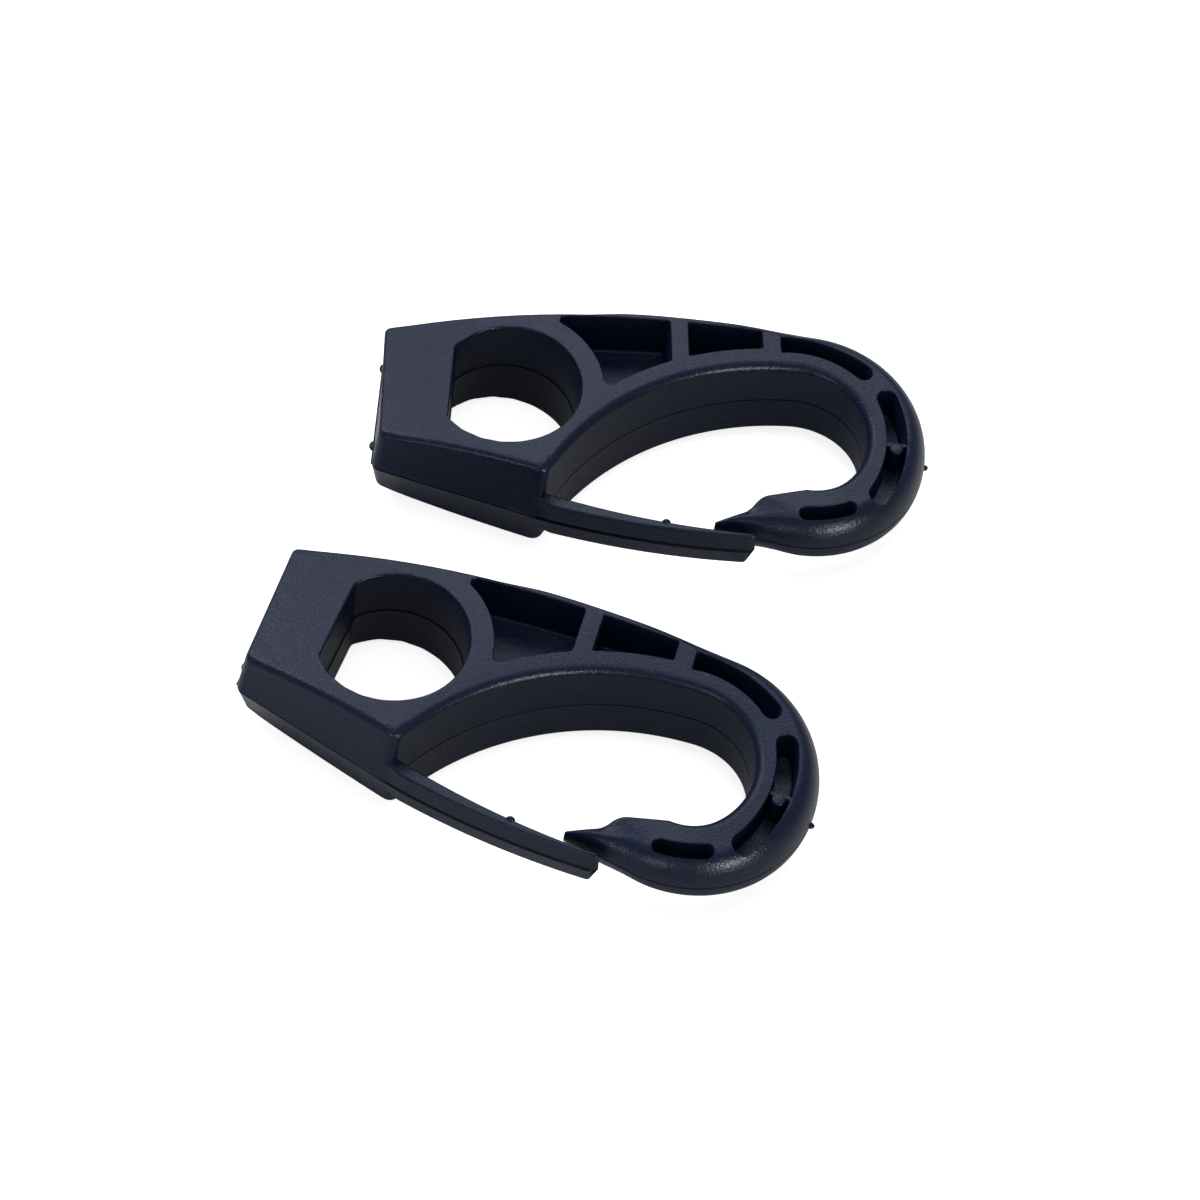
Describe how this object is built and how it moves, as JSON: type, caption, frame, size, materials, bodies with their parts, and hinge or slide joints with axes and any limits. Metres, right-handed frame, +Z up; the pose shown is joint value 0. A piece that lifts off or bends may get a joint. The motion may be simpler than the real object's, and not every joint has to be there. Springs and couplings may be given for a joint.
{
  "type": "snap hook pair",
  "caption": "Pair of one-piece moulded plastic snap hooks: a ribbed body with a flatted round tail bore, a curved loop, a beaked nose and a thin springy gate.",
  "frame": {"origin": "centre of the first hook's tail bore, on the parting plane", "axes": "+X along the first hook from tail to bend, +Y across it from the gate side to the spine, +Z up out of the face that shows, along the bores"},
  "size_m": [0.0869, 0.0821, 0.0154],
  "materials": {
    "body_plastic": "fine matte moulded nylon, navy black, a soft sheen on the rounded edges",
    "hinge_plastic": "the same nylon, thin and flexible",
    "gate_plastic": "the same nylon, satin along the flat top"
  },
  "bodies": {
    "hook_a": {"hook_a_body": "body_plastic", "hook_a_living_hinge": "hinge_plastic"},
    "hook_a_gate": {"hook_a_gate": "gate_plastic"},
    "hook_b": {"hook_b_body": "body_plastic", "hook_b_living_hinge": "hinge_plastic"},
    "hook_b_gate": {"hook_b_gate": "gate_plastic"}
  },
  "joints": [
    {"name": "gate_a_swing", "type": "hinge", "parent": "hook_a", "child": "hook_a_gate", "pos_m": [0.00827, -0.0155, 0], "axis": [0, 0, -1], "range_deg": [0, 22], "stiffness_Nm_per_rad": 0.4, "deforming": ["hook_a_living_hinge"]},
    {"name": "pair_lift", "type": "slide", "parent": "hook_a", "child": "hook_b", "axis": [0, 0, 1], "range_m": [0, 0.04]},
    {"name": "gate_b_swing", "type": "hinge", "parent": "hook_b", "child": "hook_b_gate", "pos_m": [-0.01054, -0.05631, 0], "axis": [0, 0, -1], "range_deg": [0, 22], "stiffness_Nm_per_rad": 0.4, "deforming": ["hook_b_living_hinge"]}
  ]
}
